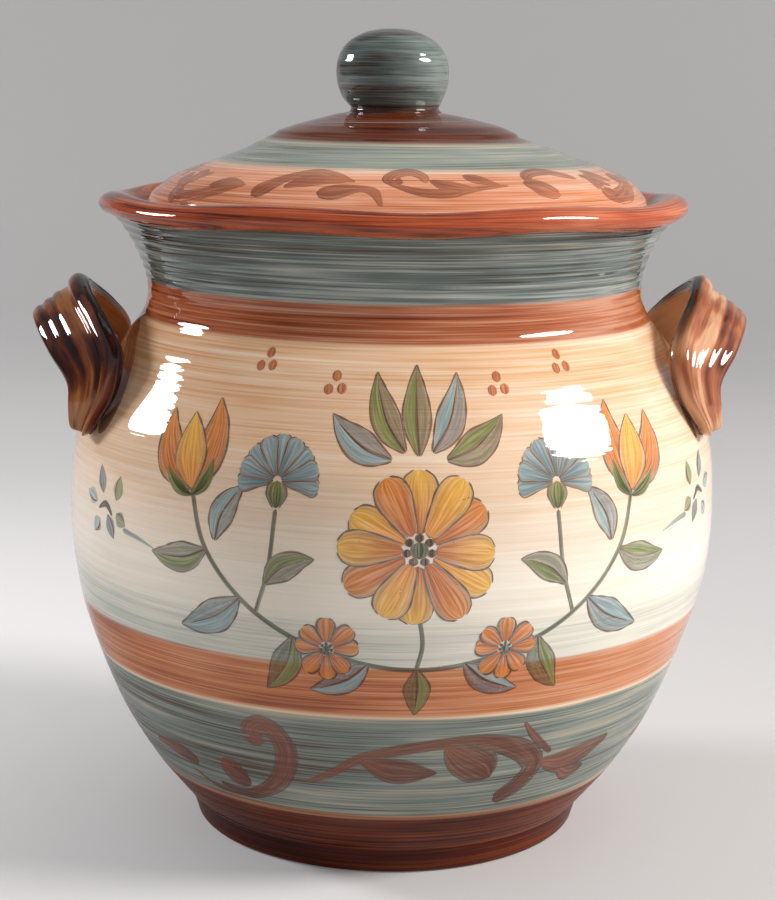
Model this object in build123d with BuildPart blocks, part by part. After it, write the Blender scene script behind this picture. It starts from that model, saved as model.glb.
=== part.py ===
from build123d import *
import math
import os

# Stoneware biscuit jar with two strap lug handles and a lift-off lid that carries a ball knob.
# Millimetres, +Z up. The origin is the centre of the foot's resting face and +X passes near the
# right-hand handle. Every outline below is a list of (radius, height) pairs about the jar's axis.

# Foot
FOOT_RADIUS = 64.0
FOOT_HEIGHT = 8.3
FOOT_TOP_RADIUS = 66.5
FOOT_RING_WIDTH = 10.0
FOOT_EDGE_ROUND = 1.5

# Thrown wall
WALL = 6.5
FLOOR_TOP = 15.0
FLOOR_RADIUS = 60.0
BELLY_RADIUS = 106.0
BELLY_HEIGHT = 108.0
NECK_RADIUS = 80.4
NECK_HEIGHT = 176.5
FLARE_RADIUS = 90.3
FLARE_HEIGHT = 200.5
WALL_OUTLINE = [
    (FOOT_TOP_RADIUS, FOOT_HEIGHT),
    (79.7, 25.0),
    (90.1, 43.0),
    (100.3, 70.0),
    (BELLY_RADIUS, BELLY_HEIGHT),
    (103.7, 132.0),
    (97.2, 147.0),
    (88.2, 161.5),
    (82.2, 169.5),
    (NECK_RADIUS, NECK_HEIGHT),
    (83.4, 190.0),
    (FLARE_RADIUS, FLARE_HEIGHT),
]

# Where along the outline, from 0 at the foot to 1 at the lip, the inside is stepped in by the wall
INSIDE_PARAMETERS = [0.9, 0.83, 0.72, 0.6, 0.45, 0.3, 0.16, 0.07]

# Gallery, the ledge inside the neck that the lid sits on
LEDGE_HEIGHT = 203.5
LEDGE_INNER_RADIUS = 75.2
LEDGE_OUTER_RADIUS = 83.0
LEDGE_DEPTH = 3.5

# Rolled lip
RIM_OUTLINE = [
    (FLARE_RADIUS, FLARE_HEIGHT),
    (93.9, 201.8),
    (95.1, 204.4),
    (93.2, 207.0),
    (89.6, 207.9),
    (86.2, 206.6),
    (LEDGE_OUTER_RADIUS, LEDGE_HEIGHT),
]

# Lug handles: azimuths are measured from the front (-Y) towards +X
HANDLE_AZIMUTHS = {"handle_right": 89.0, "handle_left": -84.0}
STRAP_THICKNESS = 5.0
STRAP_FOOT_THICKNESS = 4.0
STRAP_CROWN = 0.5
# How far the strap's edges round off, as a share of its thickness
STRAP_EDGE_ROUND = 0.28
# Half of each long edge of the strap, from its apex to its foot, as (radius, sideways, height)
STRAP_UPPER_EDGE = [
    (101.0, 0.0, 181.8),
    (98.2, 16.0, 178.2),
    (92.5, 31.0, 170.5),
    (88.5, 42.5, 161.0),
    (90.8, 43.5, 149.0),
    (97.0, 36.5, 136.5),
    (95.0, 33.0, 130.0),
]
STRAP_LOWER_EDGE = [
    (116.8, 0.0, 166.0),
    (114.8, 13.0, 164.0),
    (110.0, 25.0, 157.5),
    (104.5, 32.5, 149.0),
    (103.5, 34.8, 141.0),
    (101.0, 32.0, 136.0),
    (96.5, 29.5, 132.5),
]

# Knob: two half ellipses that meet at its widest height. The lower one is cut off at the neck, and
# the upper one ends on a tiny flat at the crown
KNOB_SEAT_RADIUS = 15.0
KNOB_RADIUS = 18.2
KNOB_WIDEST_HEIGHT = 246.0
KNOB_LOWER_DEPTH = 17.5
KNOB_NECK_ANGLE = -40.0
KNOB_CROWN_ANGLE = 88.0
TOTAL_HEIGHT = 260.0
KNOB_UPPER_DEPTH = TOTAL_HEIGHT - KNOB_WIDEST_HEIGHT

# Lid: a dome, and a slightly raised disc on it that carries the knob
LID_SEAT_GAP = 0.3
LID_UNDERSIDE = LEDGE_HEIGHT + LID_SEAT_GAP
LID_RADIUS = 80.8
LID_EDGE_HEIGHT = 205.4
LID_TOP_HEIGHT = 233.6
LID_WALL = 6.0
DISC_RADIUS = 39.4
DISC_HEIGHT = 226.3
LID_OUTLINE = [
    (LID_RADIUS, LID_EDGE_HEIGHT),
    (78.0, 209.2),
    (73.9, 212.4),
    (62.8, 217.3),
    (DISC_RADIUS, DISC_HEIGHT),
]
LID_OUTLINE_DIRECTIONS = [(0.0, 1.0), (-1.0, 0.36)]
DISC_OUTLINE = [
    (DISC_RADIUS, DISC_HEIGHT),
    (38.6, 227.2),
    (32.5, 229.6),
    (20.3, 232.6),
    (KNOB_SEAT_RADIUS, LID_TOP_HEIGHT),
]
# The lid's inside, from the axis out to the flange: where the dome's outline is stepped in, and
# the directions in which the curve starts and ends
LID_INSIDE_PARAMETERS = [0.95, 0.6, 0.35]
LID_INSIDE_DIRECTIONS = [(1.0, 0.0), (0.35, -1.0)]

# Locating flange under the lid
FLANGE_RADIUS = 73.8
FLANGE_WIDTH = 5.0
FLANGE_INNER_RADIUS = FLANGE_RADIUS - FLANGE_WIDTH
FLANGE_BOTTOM = 193.5
FLANGE_EDGE_ROUND = 1.5


def stepped_inwards(edge, depth, parameters):
    """Points at the given depth under an outline that climbs the outside of a wall."""
    points = []
    for parameter in parameters:
        point = edge @ parameter
        tangent = edge % parameter
        points.append((point.X - depth * tangent.Y, point.Y + depth * tangent.X))
    return points


def handle_frame(azimuth):
    """Plane whose x runs radially outwards at the azimuth and whose z is the jar's axis."""
    angle = math.radians(azimuth)
    return Plane(origin=(0, 0, 0), x_dir=(math.sin(angle), -math.cos(angle), 0), z_dir=(0, 0, 1))


def strap_edge(half_edge, frame):
    """Points along a whole long edge of a strap: the half list and its mirror image."""
    half = [Vector(*point) for point in half_edge]
    mirrored = [Vector(point.X, -point.Y, point.Z) for point in reversed(half[1:])]
    return [frame.from_local_coords(point) for point in mirrored + half]


def strap_section_plane(upper, lower, station):
    """Plane across the strap at one station: x runs from the upper edge to the lower edge."""
    last = len(upper) - 1
    middles = [(top + bottom) / 2 for top, bottom in zip(upper, lower)]
    across = (lower[station] - upper[station]).normalized()
    along = middles[min(station + 1, last)] - middles[max(station - 1, 0)]
    square = along - across * along.dot(across)
    return Plane(origin=middles[station], x_dir=across, z_dir=square)


def strap_section(width, thickness):
    """Outline of the strap's section: crowned outside (y near 0), rounded edges, flat inside."""
    face_end = width / 2 - STRAP_EDGE_ROUND * thickness
    ThreePointArc((-face_end, STRAP_CROWN), (0, 0), (face_end, STRAP_CROWN))
    ThreePointArc((face_end, STRAP_CROWN), (width / 2, thickness / 2), (face_end, thickness))
    Line((face_end, thickness), (-face_end, thickness))
    ThreePointArc((-face_end, thickness), (-width / 2, thickness / 2), (-face_end, STRAP_CROWN))


# The outside of the thrown wall, from the foot up to the underside of the lip
wall_curve = Spline(*WALL_OUTLINE)

with BuildPart() as thrown_wall:
    with BuildSketch(Plane.XZ):
        with BuildLine():
            add(wall_curve)
            Polyline(
                (FLARE_RADIUS, FLARE_HEIGHT),
                (LEDGE_OUTER_RADIUS, LEDGE_HEIGHT),
                (LEDGE_INNER_RADIUS, LEDGE_HEIGHT),
                (LEDGE_INNER_RADIUS, LEDGE_HEIGHT - LEDGE_DEPTH),
            )
            wall_inside = stepped_inwards(wall_curve, WALL, INSIDE_PARAMETERS)
            Spline(
                (LEDGE_INNER_RADIUS, LEDGE_HEIGHT - LEDGE_DEPTH),
                *wall_inside,
                (FLOOR_RADIUS, FLOOR_TOP),
            )
            Polyline(
                (FLOOR_RADIUS, FLOOR_TOP),
                (0, FLOOR_TOP),
                (0, FOOT_HEIGHT),
                (FOOT_TOP_RADIUS, FOOT_HEIGHT),
            )
        make_face()
    revolve(axis=Axis.Z)

# The wall is parted at the neck's narrowest line into the round body and the flared neck
neck_plane = Plane.XY.offset(NECK_HEIGHT)

with BuildPart() as jar_body:
    add(thrown_wall.part)
    split(bisect_by=neck_plane, keep=Keep.BOTTOM)

with BuildPart() as flared_neck:
    add(thrown_wall.part)
    split(bisect_by=neck_plane, keep=Keep.TOP)

with BuildPart() as foot_ring:
    with BuildSketch(Plane.XZ):
        with BuildLine():
            Polyline(
                (FOOT_RADIUS, 0),
                (FOOT_TOP_RADIUS, FOOT_HEIGHT),
                (FOOT_RADIUS - FOOT_RING_WIDTH, FOOT_HEIGHT),
                (FOOT_RADIUS - FOOT_RING_WIDTH, 0),
                close=True,
            )
        make_face()
    revolve(axis=Axis.Z)
    fillet(foot_ring.edges().group_by(Axis.Z)[0], radius=FOOT_EDGE_ROUND)

with BuildPart() as rolled_rim:
    with BuildSketch(Plane.XZ):
        with BuildLine():
            Line((LEDGE_OUTER_RADIUS, LEDGE_HEIGHT), (FLARE_RADIUS, FLARE_HEIGHT))
            Spline(*RIM_OUTLINE)
        make_face()
    revolve(axis=Axis.Z)

# The jar without its hollow: the handles are trimmed to its outside
with BuildPart() as filled_jar:
    with BuildSketch(Plane.XZ):
        with BuildLine():
            add(wall_curve)
            Polyline(
                (FLARE_RADIUS, FLARE_HEIGHT),
                (0, FLARE_HEIGHT),
                (0, FOOT_HEIGHT),
                (FOOT_TOP_RADIUS, FOOT_HEIGHT),
            )
        make_face()
    revolve(axis=Axis.Z)

handles = {}
for name, azimuth in HANDLE_AZIMUTHS.items():
    upper_edge = strap_edge(STRAP_UPPER_EDGE, handle_frame(azimuth))
    lower_edge = strap_edge(STRAP_LOWER_EDGE, handle_frame(azimuth))
    apex_station = (len(upper_edge) - 1) / 2
    with BuildPart() as handle:
        for station in range(len(upper_edge)):
            from_apex = abs(station / apex_station - 1)
            width = (lower_edge[station] - upper_edge[station]).length
            thickness = STRAP_THICKNESS + (STRAP_FOOT_THICKNESS - STRAP_THICKNESS) * from_apex
            with BuildSketch(strap_section_plane(upper_edge, lower_edge, station)):
                with BuildLine():
                    strap_section(width, thickness)
                make_face()
        loft()
        add(filled_jar.part, mode=Mode.SUBTRACT)
    handles[name] = handle

# The outside of the lid, from its edge up to the raised disc round the knob
lid_curve = Spline(*LID_OUTLINE, tangents=LID_OUTLINE_DIRECTIONS)

with BuildPart() as lid_dome:
    with BuildSketch(Plane.XZ):
        with BuildLine():
            Line((LID_RADIUS, LID_UNDERSIDE), (LID_RADIUS, LID_EDGE_HEIGHT))
            add(lid_curve)
            Spline(*DISC_OUTLINE)
            Polyline(
                (KNOB_SEAT_RADIUS, LID_TOP_HEIGHT),
                (0, LID_TOP_HEIGHT),
                (0, LID_TOP_HEIGHT - LID_WALL),
            )
            dome_inside = stepped_inwards(lid_curve, LID_WALL, LID_INSIDE_PARAMETERS)
            Spline(
                (0, LID_TOP_HEIGHT - LID_WALL),
                *dome_inside,
                (FLANGE_INNER_RADIUS, LID_UNDERSIDE),
                tangents=LID_INSIDE_DIRECTIONS,
            )
            Line((FLANGE_INNER_RADIUS, LID_UNDERSIDE), (LID_RADIUS, LID_UNDERSIDE))
        make_face()
    revolve(axis=Axis.Z)

with BuildPart() as lid_flange:
    with BuildSketch(Plane.XZ):
        with BuildLine():
            Polyline(
                (FLANGE_INNER_RADIUS, FLANGE_BOTTOM),
                (FLANGE_RADIUS, FLANGE_BOTTOM),
                (FLANGE_RADIUS, LID_UNDERSIDE),
                (FLANGE_INNER_RADIUS, LID_UNDERSIDE),
                close=True,
            )
        make_face()
    revolve(axis=Axis.Z)
    fillet(lid_flange.edges().group_by(Axis.Z)[0], radius=FLANGE_EDGE_ROUND)

with BuildPart() as knob:
    with BuildSketch(Plane.XZ):
        with BuildLine():
            centre = (0, KNOB_WIDEST_HEIGHT)
            lower = EllipticalCenterArc(
                centre, KNOB_RADIUS, KNOB_LOWER_DEPTH, start_angle=KNOB_NECK_ANGLE, arc_size=-KNOB_NECK_ANGLE
            )
            upper = EllipticalCenterArc(
                centre, KNOB_RADIUS, KNOB_UPPER_DEPTH, start_angle=0, arc_size=KNOB_CROWN_ANGLE
            )
            Line((KNOB_SEAT_RADIUS, LID_TOP_HEIGHT), lower @ 0)
            Polyline(
                upper @ 1,
                (0, (upper @ 1).Y),
                (0, LID_TOP_HEIGHT),
                (KNOB_SEAT_RADIUS, LID_TOP_HEIGHT),
            )
        make_face()
    revolve(axis=Axis.Z)

pieces = {
    "jar_body": jar_body,
    "flared_neck": flared_neck,
    "foot_ring": foot_ring,
    "rolled_rim": rolled_rim,
    "handle_left": handles["handle_left"],
    "handle_right": handles["handle_right"],
    "lid_dome": lid_dome,
    "lid_flange": lid_flange,
    "knob": knob,
}

os.makedirs("parts", exist_ok=True)
for label, piece in pieces.items():
    piece.part.label = label
    export_step(piece.part, f"parts/{label}.step")
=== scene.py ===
import math

import bpy
import bmesh
from mathutils import Matrix, Quaternion, Vector


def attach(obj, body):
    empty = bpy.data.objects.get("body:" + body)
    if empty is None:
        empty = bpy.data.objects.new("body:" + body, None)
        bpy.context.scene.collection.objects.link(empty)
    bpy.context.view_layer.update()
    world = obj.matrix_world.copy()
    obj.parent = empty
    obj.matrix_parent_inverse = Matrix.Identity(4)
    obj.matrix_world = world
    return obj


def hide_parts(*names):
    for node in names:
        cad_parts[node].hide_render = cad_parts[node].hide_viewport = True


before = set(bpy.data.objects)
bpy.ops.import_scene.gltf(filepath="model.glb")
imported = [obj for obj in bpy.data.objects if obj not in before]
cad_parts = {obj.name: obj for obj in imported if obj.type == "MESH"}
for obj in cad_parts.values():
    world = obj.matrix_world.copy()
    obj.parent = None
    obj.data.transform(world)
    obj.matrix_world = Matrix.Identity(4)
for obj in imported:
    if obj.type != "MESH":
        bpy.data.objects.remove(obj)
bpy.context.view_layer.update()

# A glazed, hand-painted stoneware biscuit jar: the thrown jar with its foot, neck, rolled rim and
# two fluted straps, and the loose lid with its ball knob. Lengths are written in millimetres and
# turned to metres by MM. Azimuths are degrees from the front (-Y) towards +X.
MM = 0.001


# ---- Small tools ----

def linear(hex_colour):
    """An sRGB hex colour as linear RGBA."""
    channels = []
    for start in (0, 2, 4):
        value = int(hex_colour[start:start + 2], 16) / 255
        channels.append(value / 12.92 if value <= 0.04045 else ((value + 0.055) / 1.055) ** 2.4)
    return (*channels, 1.0)


def add_node(tree, kind, inputs=None, **settings):
    """Adds a node with its settings; inputs maps a socket's name or number to a value, to an
    output, or to a node whose first output is meant."""
    node = tree.nodes.new(kind)
    for name, value in settings.items():
        setattr(node, name, value)
    for key, value in (inputs or {}).items():
        if isinstance(value, bpy.types.Node):
            value = value.outputs[0]
        if isinstance(value, bpy.types.NodeSocket):
            tree.links.new(value, node.inputs[key])
        else:
            node.inputs[key].default_value = value
    return node


def weighted_sum(tree, start, *terms):
    """A start, plus the value of each (value, weight) pair times its weight."""
    for value, weight in terms:
        start = add_node(tree, "ShaderNodeMath", {0: value, 1: weight, 2: start},
                         operation="MULTIPLY_ADD")
    return start


def laid_over(tree, base, *layers):
    """A base colour with the colour of each (share, colour) pair laid over it in turn."""
    for share, colour in layers:
        base = add_node(tree, "ShaderNodeMix", {0: share, 6: base, 7: colour},
                        data_type="RGBA").outputs[2]
    return base


def smooth_line(points, spacing):
    """Points about spacing apart along a smooth curve through the given ones."""
    knots = [Vector(point) for point in points]
    last = len(knots) - 1
    line = [knots[0]]
    for index in range(last):
        here, there = knots[index], knots[index + 1]
        span = (there - here).length
        slopes = []
        for knot in (index, index + 1):
            before, after = max(knot - 1, 0), min(knot + 1, last)
            way = sum((knots[k + 1] - knots[k]).length for k in range(before, after))
            slopes.append((knots[after] - knots[before]) * (span / max(way, 1e-9)))
        steps = max(round(span / spacing), 1)
        for step in range(1, steps + 1):
            t = step / steps
            line.append(here * (2 * t**3 - 3 * t**2 + 1) + slopes[0] * (t**3 - 2 * t**2 + t)
                        + there * (3 * t**2 - 2 * t**3) + slopes[1] * (t**3 - t**2))
    return line


def arc_line(centre, radii, start, end, steps, fullness=2.0):
    """Points on an arc in the (radius, height) plane; angles are degrees from outwards to up.

    A fullness of 2 gives an ellipse, and more than that squares its shoulders."""
    line = []
    for step in range(steps + 1):
        angle = math.radians(start + (end - start) * step / steps)
        point = []
        for middle, radius, share in zip(centre, radii, (math.cos(angle), math.sin(angle))):
            point.append(middle + radius * math.copysign(abs(share) ** (2 / fullness), share))
        line.append(Vector(point))
    return line


def along_table(table, height):
    """The value at a height in a list of (height, value) pairs, straight between them."""
    for (low, value_low), (high, value_high) in zip(table, table[1:]):
        if height <= high:
            share = (height - low) / (high - low)
            return value_low + (value_high - value_low) * max(share, 0.0)
    return table[-1][1]


def new_object(name, vertices, edges=(), faces=()):
    mesh = bpy.data.meshes.new(name)
    mesh.from_pydata([tuple(vertex) for vertex in vertices], list(edges), list(faces))
    piece = bpy.data.objects.new(name, mesh)
    bpy.context.scene.collection.objects.link(piece)
    return piece


def store_values(piece, name, values, kind="FLOAT", field="value"):
    """Stores one value for each point of the piece's mesh."""
    piece.data.attributes.new(name, kind, "POINT").data.foreach_set(field, values)


def run_tree(piece, tree, **values):
    """Runs a Geometry Nodes tree on the piece and keeps the result as its plain mesh."""
    modifier = piece.modifiers.new(tree.name, "NODES")
    modifier.node_group = tree
    for item in tree.interface.items_tree:
        if item.in_out == "INPUT" and item.name in values:
            modifier[item.identifier] = values[item.name]
    evaluated = piece.evaluated_get(bpy.context.evaluated_depsgraph_get())
    mesh = bpy.data.meshes.new_from_object(evaluated)
    piece.modifiers.remove(modifier)
    piece.data = mesh
    return piece


def tree_with(name, sockets):
    """A new Geometry Nodes tree with the named inputs, and its two end nodes."""
    tree = bpy.data.node_groups.new(name, "GeometryNodeTree")
    tree.interface.new_socket("Geometry", in_out="INPUT", socket_type="NodeSocketGeometry")
    tree.interface.new_socket("Geometry", in_out="OUTPUT", socket_type="NodeSocketGeometry")
    for socket_name, socket_type, value in sockets:
        socket = tree.interface.new_socket(socket_name, in_out="INPUT", socket_type=socket_type)
        if value is not None:
            socket.default_value = value
    return tree, add_node(tree, "NodeGroupInput"), add_node(tree, "NodeGroupOutput")


def end_tree(tree, given, result, geometry):
    """Makes the geometry real, gives it the tree's material and hands it out."""
    whole = add_node(tree, "GeometryNodeRealizeInstances", {"Geometry": geometry})
    finished = add_node(tree, "GeometryNodeSetMaterial", {
        "Geometry": whole, "Material": given.outputs["Material"]})
    tree.links.new(finished.outputs[0], result.inputs[0])
    return tree


# ---- Sizes of the clay, in millimetres: (radius, height) outlines about the jar's axis ----

FOOT_RADIUS, FOOT_TOP_RADIUS, FOOT_HEIGHT, FOOT_WIDTH = 64.0, 66.5, 8.3, 10.0
WALL, FLOOR_TOP, FLOOR_RADIUS = 6.5, 15.0, 60.0
NECK_RADIUS, NECK_HEIGHT = 80.4, 176.5
FLARE_RADIUS, FLARE_HEIGHT = 90.3, 200.5
BODY_OUTLINE = [
    (FOOT_TOP_RADIUS, FOOT_HEIGHT), (72.4, 15.5), (79.7, 25.0), (90.1, 43.0), (100.3, 70.0),
    (104.6, 88.0), (106.0, 108.0), (103.7, 132.0), (97.0, 147.0), (88.4, 161.5), (84.1, 167.2),
    (81.75, 171.2), (NECK_RADIUS, NECK_HEIGHT),
]
NECK_OUTLINE = [(NECK_RADIUS, NECK_HEIGHT), (81.0, 183.0), (83.4, 190.0), (86.1, 195.0),
                (FLARE_RADIUS, FLARE_HEIGHT)]
LEDGE_HEIGHT, LEDGE_INNER_RADIUS, LEDGE_OUTER_RADIUS, LEDGE_DEPTH = 203.5, 75.2, 83.0, 3.5
RIM_OUTLINE = [(FLARE_RADIUS, FLARE_HEIGHT), (93.9, 201.8), (95.1, 204.4), (93.2, 207.0),
               (89.6, 207.9), (86.2, 206.6), (LEDGE_OUTER_RADIUS, LEDGE_HEIGHT)]

LID_RADIUS, LID_UNDERSIDE, LID_TOP, LID_WALL = 80.8, 203.8, 233.6, 6.0
DISC_RADIUS, DISC_HEIGHT = 39.4, 226.3
LID_OUTLINE = [(80.6, 205.6), (79.6, 207.6), (78.0, 209.2), (74.3, 212.4), (67.2, 215.7),
               (58.3, 218.9), (49.8, 222.2), (DISC_RADIUS, DISC_HEIGHT)]
DISC_OUTLINE = [(38.6, 227.2), (36.5, 228.1), (32.5, 229.6), (20.3, 232.6), (15.0, LID_TOP)]
FLANGE_RADIUS, FLANGE_WIDTH, FLANGE_BOTTOM = 73.8, 5.0, 193.5

KNOB_RADIUS, KNOB_MIDDLE, KNOB_UPPER_DEPTH, KNOB_LOWER_DEPTH = 18.2, 246.0, 14.0, 17.5
KNOB_NECK_RADIUS, KNOB_FULLNESS = 14.2, 2.25

# Throwing ridges: how deep they are at each height, and how far apart they climb
RIDGE_DEPTHS = [(0, 0.06), (20, 0.08), (60, 0.04), (80, 0.02), (125, 0.02), (140, 0.012),
                (168, 0.014), (178, 0.06), (184, 0.20), (198, 0.24), (202, 0.0), (209, 0.0),
                (216, 0.04), (226, 0.04), (234, 0.03), (260, 0.03)]
RIDGE_PITCH = 3.1
# How many pitches the spacing strays by, and the radius below which the ridges fade out
RIDGE_UNEVENNESS, RIDGE_FADE_RADIUS = 1.3, 4.0

# How far the thrown forms wander sideways from the axis, by height
JAR_DRIFT = [(0, -0.6), (70, -0.6), (88, 0.0), (130, 0.1), (157, 0.9), (167, 0.7), (176, 0.0),
             (190, -1.0), (203, -0.9)]
LID_DRIFT = [(204, 0.2), (210, 1.3), (214, 2.4), (218, 2.8), (222, 2.0), (226, -0.4), (230, 0.6),
             (234, -0.8), (238, -1.7), (260, -2.1)]

# The rim's gentle wave: lobes all round, the turn and height of its crests, and how much
# higher they stand on one side
RIM_LOBES, RIM_CREST_AZIMUTH, RIM_WAVE, RIM_TILT = 7, 30.0, 0.7, 0.8

# The axis that everything is turned about, how near points are that become one, and the angle
# in degrees from which an edge stays crisp
UP, WELD, CRISP_ANGLE = (0.0, 0.0, 1.0), 0.01, 50


# ---- Geometry Nodes: forms turned on the wheel ----

def make_turned_form_tree():
    """Turns a profile line about the axis, with climbing throwing ridges and a waved edge.

    The profile is a line of edges in the XZ plane. Its points carry how deep the ridges are
    there (ridge), how far the form wanders sideways (drift), how much it waves (wave) and
    whether it is a bare inner face (inside)."""
    tree, given, result = tree_with("turned_form", [
        ("Columns", "NodeSocketInt", 224),
        ("Ridge Pitch", "NodeSocketFloat", RIDGE_PITCH * MM),
        ("Wave Lobes", "NodeSocketFloat", float(RIM_LOBES)),
        ("Wave Height", "NodeSocketFloat", RIM_WAVE * MM),
        ("Material", "NodeSocketMaterial", None),
    ])
    profile = given.outputs["Geometry"]
    # A sheet of one row for each profile point, whose X runs once round the jar from the back
    rows = add_node(tree, "GeometryNodeAttributeDomainSize", {0: profile}).outputs["Point Count"]
    columns = add_node(tree, "ShaderNodeMath", {0: given.outputs["Columns"], 1: 1.0},
                       operation="ADD")
    grid = add_node(tree, "GeometryNodeMeshGrid", {
        "Size X": math.tau, "Size Y": 1.0, "Vertices X": columns, "Vertices Y": rows})
    place = add_node(tree, "GeometryNodeInputPosition")
    turn = add_node(tree, "ShaderNodeSeparateXYZ", {0: place}).outputs["X"]
    index = add_node(tree, "GeometryNodeInputIndex")
    row = add_node(tree, "FunctionNodeIntegerMath", {0: index, 1: rows}, operation="MODULO")
    samples = {}
    for name in ("ridge", "drift", "wave", "inside"):
        carried = add_node(tree, "GeometryNodeInputNamedAttribute", {"Name": name},
                           data_type="FLOAT")
        samples[name] = add_node(tree, "GeometryNodeSampleIndex", {
            "Geometry": profile, "Value": carried.outputs["Attribute"], "Index": row},
            data_type="FLOAT")
    profile_place = add_node(tree, "GeometryNodeSampleIndex", {
        "Geometry": profile, "Value": place, "Index": row}, data_type="FLOAT_VECTOR")
    outline = add_node(tree, "ShaderNodeSeparateXYZ", {0: profile_place}).outputs

    # Ridges climb one pitch each turn, and their spacing comes and goes
    height_in_pitches = add_node(tree, "ShaderNodeMath", {
        0: outline["Z"], 1: given.outputs["Ridge Pitch"]}, operation="DIVIDE")
    spoke_of_pitches = add_node(tree, "ShaderNodeCombineXYZ", {
        "Y": -0.5, "Z": height_in_pitches})
    swept = add_node(tree, "ShaderNodeVectorRotate", {
        "Vector": spoke_of_pitches, "Axis": UP, "Angle": turn})
    unevenness = add_node(tree, "ShaderNodeTexNoise", {
        "Vector": swept, "Scale": 0.7, "Detail": 2.0, "Roughness": 0.6})
    turns = weighted_sum(tree, height_in_pitches, (turn, -1.0 / math.tau),
                         (unevenness, RIDGE_UNEVENNESS))
    phase = add_node(tree, "ShaderNodeMath", {0: turns, 1: math.tau}, operation="MULTIPLY")
    ripple = add_node(tree, "ShaderNodeMath", {0: phase}, operation="SINE")
    radius = weighted_sum(tree, outline["X"], (ripple, samples["ridge"]))

    # The waved edge: lobes whose height differs from one side of the jar to the other
    lobe_turn = add_node(tree, "ShaderNodeMath", {
        0: turn, 1: math.radians(RIM_CREST_AZIMUTH)}, operation="SUBTRACT")
    lobes = add_node(tree, "ShaderNodeMath", {0: lobe_turn, 1: given.outputs["Wave Lobes"]},
                     operation="MULTIPLY")
    lobe = add_node(tree, "ShaderNodeMath", {0: lobes}, operation="COSINE")
    side = add_node(tree, "ShaderNodeMath", {0: turn}, operation="SINE")
    weight = add_node(tree, "ShaderNodeMath", {
        0: samples["wave"], 1: given.outputs["Wave Height"]}, operation="MULTIPLY")
    lifted = weighted_sum(tree, lobe, (side, RIM_TILT))
    height = weighted_sum(tree, outline["Z"], (lifted, weight))

    spoke = add_node(tree, "ShaderNodeMath", {0: radius, 1: -1.0}, operation="MULTIPLY")
    front = add_node(tree, "ShaderNodeCombineXYZ", {"Y": spoke, "Z": height})
    turned = add_node(tree, "ShaderNodeVectorRotate", {
        "Vector": front, "Axis": UP, "Angle": turn})
    aside = add_node(tree, "ShaderNodeCombineXYZ", {"X": samples["drift"]})
    moved = add_node(tree, "ShaderNodeVectorMath", {0: turned, 1: aside}, operation="ADD")
    formed = add_node(tree, "GeometryNodeSetPosition", {
        "Geometry": grid.outputs["Mesh"], "Position": moved})
    marked = add_node(tree, "GeometryNodeStoreNamedAttribute", {
        "Geometry": formed, "Name": "inside", "Value": samples["inside"]},
        data_type="FLOAT", domain="POINT")
    closed = add_node(tree, "GeometryNodeMergeByDistance", {
        "Geometry": marked, "Distance": WELD * MM})

    # Corners of the profile stay crisp
    bend = add_node(tree, "GeometryNodeInputMeshEdgeAngle")
    gentle = add_node(tree, "FunctionNodeCompare", {
        0: bend.outputs["Unsigned Angle"], 1: math.radians(CRISP_ANGLE)},
        operation="LESS_THAN")
    shaded = add_node(tree, "GeometryNodeSetShadeSmooth", {
        "Geometry": closed, "Shade Smooth": True}, domain="FACE")
    crisp = add_node(tree, "GeometryNodeSetShadeSmooth", {
        "Geometry": shaded, "Shade Smooth": gentle}, domain="EDGE")
    return end_tree(tree, given, result, crisp)


turned_form = make_turned_form_tree()


def turn_piece(name, lines, material, drifts, ridged=(), inside=(), waved=None, columns=224):
    """Turns an outline of (radius, height) points in millimetres into a named piece.

    The outline is a list of lines, one after the other. ridged holds the numbers of those with
    throwing ridges, inside those of the bare inner faces, and waved gives the share of the
    rim's wave at a point."""
    outline = [(x, z, number) for number, line in enumerate(lines) for x, z in line]
    outline = [point for index, point in enumerate(outline)
               if index == 0 or math.dist(point[:2], outline[index - 1][:2]) > WELD]
    piece = new_object(name, [(x * MM, 0.0, z * MM) for x, z, _ in outline],
                       edges=[(i, i + 1) for i in range(len(outline) - 1)])
    store_values(piece, "ridge", [
        along_table(RIDGE_DEPTHS, z) * MM * (line in ridged) * min(1.0, x / RIDGE_FADE_RADIUS)
        for x, z, line in outline])
    store_values(piece, "inside", [float(line in inside) for _, _, line in outline])
    store_values(piece, "drift", [along_table(drifts, z) * MM for _, z, _ in outline])
    store_values(piece, "wave", [waved(x, z) if waved else 0.0 for x, z, _ in outline])
    return run_tree(piece, turned_form, Columns=columns, Material=material)


def stepped_inwards(outline, depth):
    """The outline moved in by a wall's depth; the outline climbs with the clay on its left."""
    inner = []
    for index, point in enumerate(outline):
        along = outline[min(index + 1, len(outline) - 1)] - outline[max(index - 1, 0)]
        along.normalize()
        inner.append(Vector((point.x - depth * along.y, point.y + depth * along.x)))
    return inner


# ---- Materials ----

def new_material(name):
    material = bpy.data.materials.new(name)
    material.use_nodes = True
    tree = material.node_tree
    tree.nodes.clear()
    return material, tree


def finish_glaze(tree, colour, bump, coat=1.0):
    """Ends a glaze's tree: the colour lies under a clear, glassy coat that follows the bump."""
    shader = add_node(tree, "ShaderNodeBsdfPrincipled", {
        "Base Color": colour, "Roughness": 0.5, "Specular IOR Level": 0.0, "Coat Weight": coat,
        "Coat Roughness": 0.03, "Coat IOR": 1.5, "Normal": bump, "Coat Normal": bump})
    add_node(tree, "ShaderNodeOutputMaterial", {"Surface": shader})


# The streaks that bristles leave: each kind's length and width, as a share of a band's own
STREAKS = (("hair", 0.7, 0.45), ("line", 2.0, 0.95), ("stroke", 1.6, 3.0), ("patch", 0.8, 12.0))
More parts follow.
